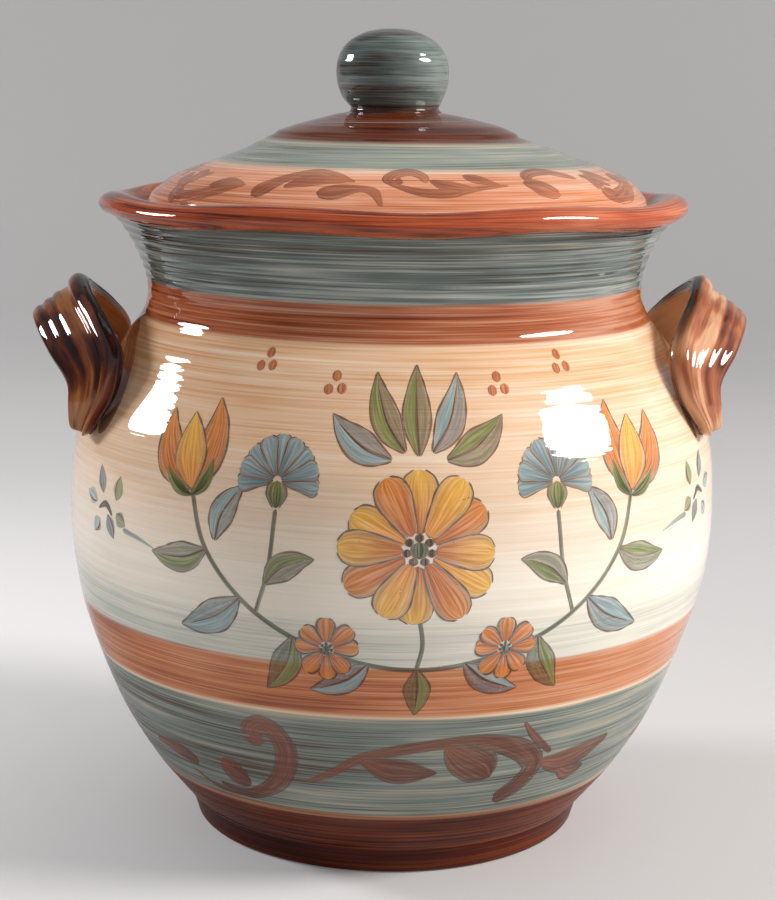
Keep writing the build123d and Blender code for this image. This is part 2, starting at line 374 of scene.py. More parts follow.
# How far streaks pull a band's border up, in millimetres, from where it would lie on average
BORDER_PULLS, BORDER_MIDDLE = (("stroke", 1.4), ("line", 0.8)), 1.1
# How much streaks count for the slip's thickness beside the lines, and how much they stand up
SLIP_WEIGHTS = (("hair", 1.25), ("stroke", 0.65), ("patch", 0.7))
RELIEF_WEIGHTS = (("stroke", 2.0), ("patch", 6.0), ("line", 0.4))
# Thickness from which the light tone and the dark tone begin to show, and where they are full
LIGHT_FROM, LIGHT_FULL, DARK_FROM, DARK_FULL = 1.80, 2.15, 1.74, 1.42
# A brush mark's streaks: their length and width in millimetres
BRISTLE_LENGTH, BRISTLE_WIDTH = 16, 0.9
RAMP_HEIGHT = 260.0
BARE_CREAM = "E0D0B4"


def banded_glaze(name, bands, slope=0.0, streak=(60.0, 1.1), relief=0.05, painted_light_lean=1.6, ragged=1.0):
    """Glassy glaze over bands of slip brushed on while the pot turns.

    bands is a list of (top height in mm, feather in mm, dark, middle and light tone). Brush
    streaks run round the pot, streak gives their length and width in mm, and slope is how much
    the radius counts beside the height where the clay lies flat. relief is how much the streaks
    stand up, painted_light_lean how much painted light lightens the tones for each metre towards
    +X, the key lamp's side, and painted shade darkens them towards -X, and ragged how far the
    streaks pull the bands' borders. Inner faces are bare cream, and brush marks laid on the piece
    show their own slip over the same bands."""
    material, tree = new_material(name)
    place = add_node(tree, "ShaderNodeTexCoord").outputs["Object"]
    parts = add_node(tree, "ShaderNodeSeparateXYZ", {0: place}).outputs
    flat = add_node(tree, "ShaderNodeVectorMath", {0: place, 1: (1.0, 1.0, 0.0)},
                    operation="MULTIPLY")
    radius = add_node(tree, "ShaderNodeVectorMath", {0: flat}, operation="LENGTH")
    climb = weighted_sum(tree, parts["Z"], (radius.outputs["Value"], -slope))
    track = add_node(tree, "ShaderNodeCombineXYZ", {
        "X": parts["X"], "Y": parts["Y"], "Z": climb})
    length, width = streak
    brushed = {}
    for kind, long, wide in STREAKS:
        across = 1 / (length * long * MM)
        stretched = add_node(tree, "ShaderNodeMapping", {
            "Vector": track, "Location": (3 * wide, 5 * wide, 7 * wide),
            "Scale": (across, across, 1 / (width * wide * MM))})
        brushed[kind] = add_node(tree, "ShaderNodeTexNoise", {
            "Vector": stretched, "Scale": 1.0, "Detail": 2.0, "Roughness": 0.55})

    # Feathered edges: the streaks pull the borders of the bands up and down
    torn = weighted_sum(tree, -BORDER_MIDDLE * ragged * MM, *(
        (brushed[kind], pull * ragged * MM) for kind, pull in BORDER_PULLS))
    height = add_node(tree, "ShaderNodeMath", {0: parts["Z"], 1: torn}, operation="ADD")
    share = add_node(tree, "ShaderNodeMath", {0: height, 1: 1 / (RAMP_HEIGHT * MM)},
                     operation="MULTIPLY")
    tones = []
    for tone in range(3):
        ramp = add_node(tree, "ShaderNodeValToRGB", {"Fac": share})
        stops = ramp.color_ramp.elements
        stops.remove(stops[1])
        stops[0].position = 0.0
        stops[0].color = linear(bands[0][2 + tone])
        for below, band in zip(bands, bands[1:]):
            top, feather = below[:2]
            for height_mm, colour in ((top - feather / 2, below[2 + tone]),
                                      (top + feather / 2, band[2 + tone])):
                stops.new(height_mm / RAMP_HEIGHT).color = linear(colour)
        tones.append(ramp)

    # Where the slip lies thick the light tone shows, and where the bristles parted the dark one;
    # painted light adds to it towards +X, the key lamp's side, and painted shade towards -X
    laid = weighted_sum(tree, brushed["line"], *(
        (brushed[kind], weight) for kind, weight in SLIP_WEIGHTS), (parts["X"], painted_light_lean))
    light = add_node(tree, "ShaderNodeMapRange", {
        "Value": laid, "From Min": LIGHT_FROM, "From Max": LIGHT_FULL})
    dark = add_node(tree, "ShaderNodeMapRange", {
        "Value": laid, "From Min": DARK_FROM, "From Max": DARK_FULL})

    # Brush marks: slip streaked by the bristles, thinner where they left less of it
    carried = {}
    for attribute in ("inside", "pigment", "slip_amount", "bristles", "clay_normal"):
        carried[attribute] = add_node(tree, "ShaderNodeAttribute",
                                      attribute_name=attribute).outputs
    drawn = add_node(tree, "ShaderNodeMapping", {
        "Vector": carried["bristles"]["Vector"],
        "Scale": (1 / (BRISTLE_LENGTH * MM), 1 / (BRISTLE_WIDTH * MM), 1.0)})
    bristles = add_node(tree, "ShaderNodeTexNoise", {
        "Vector": drawn, "Scale": 1.0, "Detail": 2.0, "Roughness": 0.6})
    pooled = add_node(tree, "ShaderNodeMapRange", {
        "Value": bristles, "From Min": 0.35, "From Max": 0.68, "To Min": 1.15, "To Max": 0.68})
    streaked = add_node(tree, "ShaderNodeVectorMath", {
        0: carried["pigment"]["Color"], "Scale": pooled}, operation="SCALE")
    left = add_node(tree, "ShaderNodeMapRange", {
        "Value": bristles, "From Min": 0.3, "From Max": 0.55, "To Min": 0.72, "To Max": 1.0})
    amount = carried["slip_amount"]["Fac"]
    covered = add_node(tree, "ShaderNodeMath", {0: amount, 1: left}, operation="MULTIPLY")
    colour = laid_over(tree, tones[1], (light, tones[2]), (dark, tones[0]),
                       (carried["inside"]["Fac"], linear(BARE_CREAM)), (covered, streaked))

    # Glaze flows smoothly over the marks, so they shine as the clay below them does
    shape = add_node(tree, "ShaderNodeNewGeometry")
    below_turned = add_node(tree, "ShaderNodeVectorTransform", {
        0: carried["clay_normal"]["Vector"]},
        vector_type="VECTOR", convert_from="OBJECT", convert_to="WORLD")
    marked = add_node(tree, "ShaderNodeMath", {0: amount, 1: 0.01}, operation="GREATER_THAN")
    surface = add_node(tree, "ShaderNodeMix", {
        0: marked, 4: shape.outputs["Normal"], 5: below_turned}, data_type="VECTOR")

    # The slip stands a few hundredths of a millimetre proud, and the glaze follows it
    swell = weighted_sum(tree, 0.0, *(
        (brushed[kind], weight * relief) for kind, weight in RELIEF_WEIGHTS))
    bump = add_node(tree, "ShaderNodeBump", {
        "Height": swell, "Strength": 1.0, "Distance": MM, "Normal": surface.outputs[1]})
    # The dipped glaze lies thinner on the foot
    coat = add_node(tree, "ShaderNodeMapRange", {
        "Value": parts["Z"], "From Min": 20 * MM, "From Max": 60 * MM,
        "To Min": 0.4, "To Max": 1.0})
    finish_glaze(tree, colour, bump, coat)
    return material


# The wall: bands of dark brown, blue-grey and terracotta slip below, a bare cream belly that
# warms to peach, and terracotta and blue-grey at the neck, all under a clear glaze
WALL_BANDS = [
    (23.4, 0.4, "35120A", "60240F", "86421F"),
    (24.4, 0.4, "B87A4E", "D09066", "E0AC84"),
    (61.4, 0.3, "553F2E", "76817A", "A8A392"),
    (62.1, 0.3, "DDB48E", "E8C8A6", "F0D9B8"),
    (78.4, 0.6, "984A28", "C67848", "D89A76"),
    (92.0, 7.0, "B6BAAE", "D5D1C3", "E6E1D1"),
    (116.0, 26.0, "EADFCC", "F0E5D3", "F5ECDE"),
    (139.0, 16.0, "E3BF9B", "EACAAC", "EFD9C1"),
    (157.0, 14.0, "DFA97A", "E9C09C", "F0D5B9"),
    (168.8, 0.6, "D69E6C", "E8BC94", "F1D8BC"),
    (180.5, 0.5, "702C14", "A65833", "C48A6C"),
    (260.0, 0.5, "3C2A1E", "5F6A66", "A4A8A0"),
]
painted_wall = banded_glaze("painted_stoneware_wall", WALL_BANDS)

# The lid: a terracotta edge, a blue-grey band and a dark brown top, parted by pale lines
LID_BANDS = [
    (217.3, 0.3, "AE6640", "DC9068", "EFBA9E"),
    (217.7, 0.2, "CFA888", "E0C0A0", "EBD5B8"),
    (224.5, 0.3, "70624C", "859088", "B0AB98"),
    (224.8, 0.2, "C8A684", "D8BC9A", "E2CCAE"),
    (260.0, 0.5, "36130A", "5A2510", "7C4228"),
]
painted_lid = banded_glaze("painted_stoneware_lid", LID_BANDS, slope=0.8, streak=(50.0, 1.0),
                           ragged=0.35)

# The knob: nearly black at its neck and worn blue-grey above, with strong painted light that
# lightens its +X side and painted shade that darkens its -X side
KNOB_BANDS = [
    (236.0, 1.5, "1E0E0A", "3A1E15", "5E3A2A"),
    (260.0, 0.5, "42302A", "5A6561", "7C847D"),
]
painted_knob = banded_glaze("painted_stoneware_knob", KNOB_BANDS, streak=(22.0, 0.9), painted_light_lean=9.0)

# The foot: dark brown all over
FOOT_BANDS = [(260.0, 0.5, "2A0D07", "4A1708", "6E3014")]
painted_foot = banded_glaze("painted_stoneware_foot", FOOT_BANDS)

# The rolled rim: warm terracotta, with a soft tan edge just below it
RIM_BANDS = [(200.1, 0.3, "A87850", "C79A70", "DDB890"),
             (260.0, 0.5, "541A0A", "A84822", "CC7450")]
painted_rim = banded_glaze("painted_stoneware_rim", RIM_BANDS, slope=0.7, streak=(45.0, 1.2))

# Plain cream glaze for the collar under the lid
plain_glaze = banded_glaze("plain_cream_glaze", [(260.0, 0.5, "D3C2A6", BARE_CREAM, "E9DCC4")],
                           relief=0.02)


# The strap's length and half width, which the attributes along and across count by, and the
# length and width of the glaze's runs and pools on it, all in millimetres
STRAP_LENGTH, STRAP_HALF_WIDTH = 150, 11.5
RUN_SIZE, POOL_SIZE = (40, 2.2), (25, 9)
POOLED_GLAZE = "24100A"


def make_strap_glaze(name, tones, inner_tones):
    """Brown glaze over a pulled strap: thin and warm on the ribs, near black where it pools.

    tones run from where the glaze lies deepest to where it lies thinnest, and inner_tones are
    those of the thin wash on the inner face."""
    material, tree = new_material(name)
    carried = {}
    for mark in ("along", "across", "inner", "rib", "painted_highlight"):
        carried[mark] = add_node(tree, "ShaderNodeAttribute", attribute_name=mark).outputs["Fac"]
    track = add_node(tree, "ShaderNodeCombineXYZ", {
        "X": carried["along"], "Y": carried["across"], "Z": carried["inner"]})
    noises = []
    for (length, width), inwards, detail, roughness in ((RUN_SIZE, 2.0, 3.0, 0.55),
                                                        (POOL_SIZE, 1.0, 2.0, 0.5)):
        stretched = add_node(tree, "ShaderNodeMapping", {
            "Vector": track, "Scale": (STRAP_LENGTH / length, STRAP_HALF_WIDTH / width, inwards)})
        noises.append(add_node(tree, "ShaderNodeTexNoise", {
            "Vector": stretched, "Scale": 1.0, "Detail": detail, "Roughness": roughness}))
    runs, pools = noises

    # How thin the glaze lies: it drains off the ribs and the two feet, and a pale stripe along
    # the first flute is a painted highlight
    from_apex = add_node(tree, "ShaderNodeMath", {0: carried["along"], 1: 0.5},
                         operation="SUBTRACT")
    apex = add_node(tree, "ShaderNodeMath", {0: from_apex}, operation="ABSOLUTE")
    feet = add_node(tree, "ShaderNodeMapRange", {
        "Value": apex, "From Min": 0.32, "From Max": 0.5, "To Max": 0.30})
    thinness = weighted_sum(tree, pools, (runs, 0.45), (carried["rib"], 0.14),
                            (carried["painted_highlight"], 0.16), (feet, 1.0))
    outer = add_node(tree, "ShaderNodeValToRGB", {"Fac": thinness})
    stops = outer.color_ramp.elements
    stops[0].position, stops[0].color = 0.62, linear(tones[0])
    stops[1].position, stops[1].color = 1.0, linear(tones[3])
    stops.new(0.74).color = linear(tones[1])
    stops.new(0.87).color = linear(tones[2])
    wash = laid_over(tree, linear(inner_tones[0]), (runs, linear(inner_tones[1])))
    inner_face = add_node(tree, "ShaderNodeMapRange", {
        "Value": carried["inner"], "From Min": 0.55, "From Max": 0.95})

    # Glaze pools along the upper edge near the top of the arch
    edge = add_node(tree, "ShaderNodeMapRange", {
        "Value": carried["across"], "From Min": -0.84, "From Max": -0.92})
    high = add_node(tree, "ShaderNodeMapRange", {
        "Value": apex, "From Min": 0.32, "From Max": 0.16})
    pooled = add_node(tree, "ShaderNodeMath", {0: edge, 1: high}, operation="MULTIPLY")
    colour = laid_over(tree, outer, (inner_face, wash), (pooled, linear(POOLED_GLAZE)))
    bump = add_node(tree, "ShaderNodeBump", {
        "Height": runs, "Strength": 1.0, "Distance": 0.08 * MM})
    finish_glaze(tree, colour, bump)
    return material


# One strap glaze in a shaded and a lit copy: near-black brown for the left strap is painted
# shade, and a lighter, warmer brown for the right one is painted light from the key lamp
shaded_strap_glaze = make_strap_glaze("pulled_strap_glaze_painted_shade",
                                    ("180603", "3C150B", "6E3218", "A06436"),
                                    ("8F5027", "C98B57"))
lit_strap_glaze = make_strap_glaze("pulled_strap_glaze_painted_light",
                                    ("4E2216", "86462F", "A8653F", "D4A07A"),
                                    ("B4835A", "DCB48C"))


# ---- The jar: foot, body, neck and rim ----

# How far apart the points of an outline lie: on the inner faces, the body, the neck and the rim
INSIDE_SPACING, BODY_SPACING, NECK_SPACING, RIM_SPACING = 3.0, 0.65, 0.6, 0.7
# The height where the floor's curve begins, and the clay left below the ledge
FLOOR_CURVE_TOP, LEDGE_SLOPE = 25.0, 3.0
# The rim's wave fades down the neck from its top, on the outside only
WAVE_BOTTOM, WAVE_RISE, WAVED_FROM_RADIUS = 190.0, 10.5, 84.0

thrown_outside = (smooth_line(BODY_OUTLINE, BODY_SPACING)[:-1]
                  + smooth_line(NECK_OUTLINE, NECK_SPACING))
inner_face = [point for point in stepped_inwards(thrown_outside, WALL)
              if FLOOR_CURVE_TOP < point.y < LEDGE_HEIGHT - LEDGE_DEPTH - LEDGE_SLOPE]
floor_line = [(66.0, 19.5), (FLOOR_RADIUS, 15.8), (52.0, FLOOR_TOP)]
thrown_body = turn_piece(
    "thrown_body",
    [smooth_line([(0.0, FOOT_HEIGHT), (FOOT_TOP_RADIUS, FOOT_HEIGHT)], 8.0),
     thrown_outside,
     [(LEDGE_OUTER_RADIUS, LEDGE_HEIGHT), (LEDGE_INNER_RADIUS, LEDGE_HEIGHT),
      (LEDGE_INNER_RADIUS, LEDGE_HEIGHT - LEDGE_DEPTH)],
     smooth_line([tuple(point) for point in inner_face[::-8]] + floor_line, INSIDE_SPACING),
     smooth_line([floor_line[-1], (0.0, FLOOR_TOP)], 6.0)],
    painted_wall, JAR_DRIFT, ridged=(1,), inside=(2, 3, 4),
    waved=lambda x, z: (max(0.0, min(1.0, (z - WAVE_BOTTOM) / WAVE_RISE))
                        if x > WAVED_FROM_RADIUS else 0.0))
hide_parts("jar_body", "flared_neck")

foot_inner_radius = FOOT_RADIUS - FOOT_WIDTH
foot = turn_piece(
    "foot_ring_turned",
    [[(foot_inner_radius, FOOT_HEIGHT)],
     arc_line((foot_inner_radius + 1.5, 1.5), (1.5, 1.5), 180, 270, 5),
     arc_line((FOOT_RADIUS - 1.2, 1.4), (1.4, 1.4), 270, 350, 6),
     smooth_line([(64.5, 2.2), (65.4, 5.2), (FOOT_TOP_RADIUS, FOOT_HEIGHT)], 0.6),
     [(foot_inner_radius, FOOT_HEIGHT)]],
    painted_foot, JAR_DRIFT)
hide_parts("foot_ring")

rim = turn_piece(
    "rolled_rim_thrown",
    [smooth_line(RIM_OUTLINE, RIM_SPACING),
     smooth_line([RIM_OUTLINE[-1], RIM_OUTLINE[0]], INSIDE_SPACING)],
    painted_rim, JAR_DRIFT,
    waved=lambda x, z: 1.0 if x > LEDGE_OUTER_RADIUS + 0.5 else 0.0)
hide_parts("rolled_rim")


# ---- The two fluted straps ----

STATION_SPACING, SECTION_STEPS = 0.9, 60
# Flutes: how many, how deep, where across the strap they begin, and the share of them that fits
FLUTES, FLUTE_DEPTH, FLUTES_FROM, FLUTE_SHARE = 4, 0.5, -0.3, 0.92
# The lip, the groove beside it and the painted highlight stripe along the first flute: place and
# spread across the strap, from -1 at its upper edge to 1 at its lower one
LIP_PLACE, LIP_SPREAD, LIP_HEIGHT, LIP_ROUNDING, EDGE_ROUNDING = -0.70, 0.32, 1.9, 0.24, 0.12
GROOVE_PLACE, GROOVE_SPREAD, GROOVE_DEPTH = -0.33, 0.16, 0.7
PAINTED_HIGHLIGHT_PLACE, PAINTED_HIGHLIGHT_SPREAD = -0.08, 0.28
STRAP_THICKNESS, STRAP_CROWN = 5.4, 0.3
TOE_LENGTH, TOE_DROP, TOE_NARROWING = 4.5, 3.6, 0.35
# Half of each long edge, from the strap's apex to its foot: (radius, sideways, height)
STRAP_UPPER_EDGE = [(99.6, 0.0, 181.4), (97.2, 16.0, 177.8), (92.0, 31.0, 170.3),
                    (88.5, 42.5, 161.0), (90.8, 44.0, 149.0), (96.5, 40.0, 138.5),
                    (99.3, 36.0, 133.2)]
STRAP_LOWER_EDGE = [(116.8, 0.0, 168.8), (115.0, 14.0, 166.4), (110.4, 26.0, 159.0),
                    (105.0, 32.5, 150.0), (104.8, 34.0, 142.5), (104.6, 33.0, 137.0),
                    (103.2, 30.6, 133.8)]


def swell_at(share, place, spread):
    """A swell of 1 at a place that falls to 0 at its spread on both sides."""
    return max(0.0, 1 - ((share - place) / spread)**2)


def strap_edges(outwards, reach, lift):
    """Points along the strap's upper and lower edge, and how near each pair is to a foot."""
    sideways = Vector(UP).cross(outwards)
    half = [Vector((*upper, *lower)) for upper, lower in zip(STRAP_UPPER_EDGE, STRAP_LOWER_EDGE)]
    mirror = Vector((1, -1, 1, 1, -1, 1))
    stations = smooth_line([point * mirror for point in half[:0:-1]] + half,
                           STATION_SPACING * math.sqrt(2))
    rows = []
    for index, station in enumerate(stations):
        near_foot = abs(2 * index / (len(stations) - 1) - 1)
        edges = []
        for radius, aside, height in (station[:3], station[3:]):
            radius += reach * (1 - near_foot**2)
            edges.append(outwards * radius + sideways * aside + Vector((0, 0, height + lift)))
        rows.append((*edges, near_foot))
    return rows


def make_strap(name, azimuth, reach, lift, material):
    """A pulled strap: flutes along its outer face that fade towards the feet, a thick lip on the
    edge nearer the neck, rounded edges, and feet pressed to the wall."""
    outwards = Vector((math.sin(math.radians(azimuth)), -math.cos(math.radians(azimuth)), 0.0))
    rows = strap_edges(outwards, reach, lift)
    last = len(rows) - 1
    count = 2 * (SECTION_STEPS + 1)
    vertices, marks = [], []
    for index, (upper, lower, near_foot) in enumerate(rows):
        before, after = rows[max(index - 1, 0)], rows[min(index + 1, last)]
        along = (after[0] + after[1] - before[0] - before[1]).normalized()
        across = (lower - upper).normalized()
        outside = across.cross(along).normalized()
        if outside.dot(outwards + Vector((0, 0, 0.6))) < 0:
            outside.negate()
        middle = (upper + lower) / 2
        to_end = min(1.0, min(index, last - index) * STATION_SPACING / TOE_LENGTH)
        pressed = 1 - math.sqrt(1 - (1 - to_end)**2)
        width = (lower - upper).length
        width *= 1 - TOE_NARROWING * pressed
        depth = FLUTE_DEPTH * (1 - near_foot**2)**2
        for inner_face in (False, True):
            for step in range(SECTION_STEPS + 1):
                share = 2 * step / SECTION_STEPS - 1
                share = -share if inner_face else share
                span = LIP_ROUNDING if share < 0 else EDGE_ROUNDING
                edge = max(0.0, abs(share) - 1 + span) / span
                round_off = STRAP_THICKNESS / 2 * (1 - math.sqrt(max(0.0, 1 - edge**2)))
                if inner_face:
                    height = round_off - STRAP_THICKNESS
                    marks.append((index / last, share, 1 - 0.5 * edge, 0.0, 0.0))
                else:
                    fluted = max(0.0, (share - FLUTES_FROM) / (1 - FLUTES_FROM))
                    rib = math.cos(fluted * FLUTE_SHARE * math.pi * FLUTES) ** 2
                    lip = swell_at(share, LIP_PLACE, LIP_SPREAD)
                    groove = swell_at(share, GROOVE_PLACE, GROOVE_SPREAD)
                    rolled = LIP_HEIGHT * (0.7 + 0.5 * near_foot) * lip - GROOVE_DEPTH * groove
                    height = (rolled * (1 - pressed) - STRAP_CROWN * share**2
                              - depth * (1 - rib) * (1 - edge) - round_off
                              - TOE_DROP * pressed)
                    # The last mark is a painted highlight: a pale stripe along the first flute
                    marks.append((index / last, share, 0.5 * edge,
                                  rib * (1 - edge) * depth / FLUTE_DEPTH,
                                  swell_at(share, PAINTED_HIGHLIGHT_PLACE, PAINTED_HIGHLIGHT_SPREAD)))
                vertices.append((middle + across * share * width / 2 + outside * height) * MM)
    faces = []
    for row in range(last):
        for column in range(count):
            there = (column + 1) % count
            faces.append((row * count + column, row * count + there,
                          (row + 1) * count + there, (row + 1) * count + column))
    faces += [tuple(range(count))[::-1], tuple(range(last * count, (last + 1) * count))]
    piece = new_object(name, vertices, faces=faces)
    for number, mark in enumerate(("along", "across", "inner", "rib", "painted_highlight")):
        store_values(piece, mark, [values[number] for values in marks])
    mesh = bmesh.new()
    mesh.from_mesh(piece.data)
    bmesh.ops.remove_doubles(mesh, verts=mesh.verts, dist=0.02 * MM)
    bmesh.ops.recalc_face_normals(mesh, faces=mesh.faces)
    for face in mesh.faces:
        face.smooth = True
    mesh.to_mesh(piece.data)
    mesh.free()
    piece.data.materials.append(material)
    return piece


# Each strap: name, azimuth, how much further it reaches, how much higher it sits, glaze
STRAPS = (("handle_left", -84.0, 1.6, 0.0, shaded_strap_glaze),
          ("handle_right", 89.0, -1.0, 1.6, lit_strap_glaze))
for name, azimuth, reach, lift, material in STRAPS:
    strap = make_strap(name + "_fluted", azimuth, reach, lift, material)
    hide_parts(name)
    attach(strap, "jar")

for piece in (thrown_body, foot, rim):
    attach(piece, "jar")


# ---- The lid: dome with its raised disc, locating flange and ball knob ----

flange_inner_radius = FLANGE_RADIUS - FLANGE_WIDTH
dome_outside = smooth_line(LID_OUTLINE, 0.8)
dome_inside = [tuple(point) for point in stepped_inwards(dome_outside, LID_WALL)
               if point.y > LID_UNDERSIDE + 3.0 and point.x < flange_inner_radius - 2.0]
lid_dome = turn_piece(
    "lid_dome_thrown",
    [smooth_line([(0.0, LID_TOP - LID_WALL), (20.0, LID_TOP - LID_WALL - 1.8)]
                 + dome_inside[::-6] + [(flange_inner_radius, LID_UNDERSIDE)], INSIDE_SPACING),
     [(LID_RADIUS - 0.6, LID_UNDERSIDE), (LID_RADIUS - 0.1, LID_UNDERSIDE + 0.5)],
     dome_outside + smooth_line([LID_OUTLINE[-1]] + DISC_OUTLINE, 0.7),
     [(0.0, LID_TOP)]],
    painted_lid, LID_DRIFT, ridged=(2,), inside=(0,))
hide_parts("lid_dome")

lid_flange = turn_piece(
    "lid_flange_thrown",
    [[(FLANGE_RADIUS, LID_UNDERSIDE), (flange_inner_radius, LID_UNDERSIDE)],
     arc_line((flange_inner_radius + 1.5, FLANGE_BOTTOM + 1.5), (1.5, 1.5), 180, 270, 4),
     arc_line((FLANGE_RADIUS - 1.5, FLANGE_BOTTOM + 1.5), (1.5, 1.5), 270, 360, 4),
     [(FLANGE_RADIUS, LID_UNDERSIDE)]],
    plain_glaze, LID_DRIFT)
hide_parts("lid_flange")

knob = turn_piece(
    "ball_knob",
    [[(0.0, LID_TOP), (KNOB_NECK_RADIUS + 0.8, LID_TOP)],
     smooth_line([(KNOB_NECK_RADIUS + 0.8, LID_TOP), (KNOB_NECK_RADIUS, LID_TOP + 1.1),
                  (KNOB_NECK_RADIUS + 0.3, LID_TOP + 2.0)], 0.5),
     arc_line((0.0, KNOB_MIDDLE), (KNOB_RADIUS, KNOB_LOWER_DEPTH), -36, 0, 22),
     arc_line((0.0, KNOB_MIDDLE), (KNOB_RADIUS, KNOB_UPPER_DEPTH), 0, 90, 44, KNOB_FULLNESS)],
    painted_knob, LID_DRIFT, ridged=(3,), columns=128)
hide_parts("knob")

for piece in (lid_dome, lid_flange, knob):
    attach(piece, "lid")


# ---- Geometry Nodes: brush marks laid on the clay ----

def make_laid_paint_tree():
    """Lays flat brush marks on a piece as thin closed films of slip.

    A flat mark's X is its length round the jar at the reference radius, -Y its radius and Z its
    height. It is thrown at the target inwards or downwards, and layer says how high it lies."""
    tree, given, result = tree_with("laid_paint", [
        ("Target", "NodeSocketObject", None),
        ("Reference Radius", "NodeSocketFloat", 0.1),
        ("Inward", "NodeSocketFloat", 1.0),
        ("Downward", "NodeSocketFloat", 0.0),
        ("Lift", "NodeSocketFloat", 0.02 * MM),
        ("Layer Step", "NodeSocketFloat", 0.006 * MM),
        ("Film", "NodeSocketFloat", 0.12 * MM),
        ("Material", "NodeSocketMaterial", None),
    ])
    target = add_node(tree, "GeometryNodeObjectInfo", {"Object": given.outputs["Target"]},
                      transform_space="RELATIVE")
    place = add_node(tree, "GeometryNodeInputPosition")
    parts = add_node(tree, "ShaderNodeSeparateXYZ", {0: place}).outputs
    angle = add_node(tree, "ShaderNodeMath", {
        0: parts["X"], 1: given.outputs["Reference Radius"]}, operation="DIVIDE")
    spoke = add_node(tree, "ShaderNodeCombineXYZ", {"Y": parts["Y"], "Z": parts["Z"]})
    sunk = add_node(tree, "ShaderNodeMath", {0: given.outputs["Downward"], 1: -1.0},
                    operation="MULTIPLY")
    aim = add_node(tree, "ShaderNodeCombineXYZ", {"Y": given.outputs["Inward"], "Z": sunk})
    start, way = (add_node(tree, "ShaderNodeVectorRotate", {
        "Vector": vector, "Axis": UP, "Angle": angle}) for vector in (spoke, aim))
    clay_normal = add_node(tree, "GeometryNodeInputNormal")
    hit = add_node(tree, "GeometryNodeRaycast", {
        "Target Geometry": target.outputs["Geometry"], "Attribute": clay_normal,
        "Source Position": start, "Ray Direction": way, "Ray Length": 0.1},
        data_type="FLOAT_VECTOR", mapping="INTERPOLATED").outputs
    layer = add_node(tree, "GeometryNodeInputNamedAttribute", {"Name": "layer"},
                     data_type="FLOAT")
    top = weighted_sum(tree, given.outputs["Lift"],
                       (layer.outputs["Attribute"], given.outputs["Layer Step"]))
    base = add_node(tree, "ShaderNodeMath", {0: top, 1: given.outputs["Film"]},
                    operation="SUBTRACT")
    raised = add_node(tree, "ShaderNodeVectorMath", {0: hit["Hit Normal"], "Scale": base},
                      operation="SCALE")
    landed = add_node(tree, "ShaderNodeVectorMath", {0: hit["Hit Position"], 1: raised},
                      operation="ADD")
    noted = add_node(tree, "GeometryNodeStoreNamedAttribute", {
        "Geometry": given.outputs["Geometry"], "Name": "clay_normal",
        "Value": hit["Attribute"]}, data_type="FLOAT_VECTOR", domain="POINT")
    laid = add_node(tree, "GeometryNodeSetPosition", {"Geometry": noted, "Position": landed})
    film = add_node(tree, "GeometryNodeExtrudeMesh", {
        "Mesh": laid, "Offset Scale": given.outputs["Film"], "Individual": False}).outputs
    smooth = add_node(tree, "GeometryNodeSetShadeSmooth", {
        "Geometry": film["Mesh"], "Selection": film["Top"], "Shade Smooth": True},
        domain="FACE")
    underside = add_node(tree, "GeometryNodeFlipFaces", {"Mesh": laid})
    both = add_node(tree, "GeometryNodeJoinGeometry")
    for part in (smooth, underside):
        tree.links.new(part.outputs[0], both.inputs[0])
    closed = add_node(tree, "GeometryNodeMergeByDistance", {
        "Geometry": both, "Distance": 0.001 * MM})
    return end_tree(tree, given, result, closed)


laid_paint = make_laid_paint_tree()

MARK_SPACING, LAID_FROM_RADIUS, LAID_FROM_HEIGHT = 0.8, 135.0, 262.0
WALL_REFERENCE, LID_REFERENCE = 104.0, 72.0
# The slip's brightness along a stroke's middle, how much darker its sides are, and how much
# less slip they hold
MIDDLE_TONE, SIDE_DARKENING, SIDE_THINNING = 1.12, 0.34, 0.3


def new_marks(reference):
    """An empty book of flat brush marks; at the reference radius in mm angles become lengths."""
    return {"reference": reference, "places": [], "faces": [], "pigment": [], "slip_amount": [],
            "bristles": [], "layer": []}


def heading(line, row):
    """The direction of a line of (across, up, half width) at one of its rows."""
    ahead, behind = line[min(row + 1, len(line) - 1)], line[max(row - 1, 0)]
    return (ahead - behind).to_2d().normalized()


def brush_mark(book, path, tones, layer=0.0, density=1.0):
    """Adds one brush stroke to a book of flat marks.

    path holds (across, up, half width) in millimetres. tones is the slip's colour, or a pair of
    them for the stroke's start and end. Its sides dry darker and hold a little less slip."""
    line = smooth_line(path, MARK_SPACING)
    widest = max(half for _, _, half in path)
    columns = max(2, math.ceil(2 * widest / MARK_SPACING))
    first, last = len(book["places"]), len(line) - 1
    pair = tones if isinstance(tones, tuple) else (tones, tones)
    start, end = (linear(tone) for tone in pair)
    for row, (across, up, half) in enumerate(line):
        ahead = heading(line, row)
        share = row / last
        colour = [low + (high - low) * share for low, high in zip(start, end)]
        to_end = min(row, last - row) * MARK_SPACING / max(half, MARK_SPACING)
        half *= math.sqrt(1 - max(0.0, 1 - to_end)**2)
        for column in range(columns + 1):
            side = 2 * column / columns - 1
            out = side * max(half, 0.05)
            tone = MIDDLE_TONE - SIDE_DARKENING * side**2
            book["places"].append((across - ahead.y * out, up + ahead.x * out))
            book["pigment"] += [channel * tone for channel in colour[:3]] + [1.0]
            book["slip_amount"].append(density * (1 - SIDE_THINNING * side**4))
            book["bristles"] += [row * MARK_SPACING * MM, side * widest * MM, first % 97]
            book["layer"].append(layer + 0.5 * share)
    for row in range(last):
        for column in range(columns):
            corner = first + row * (columns + 1) + column
            book["faces"].append((corner, corner + columns + 1, corner + columns + 2, corner + 1))


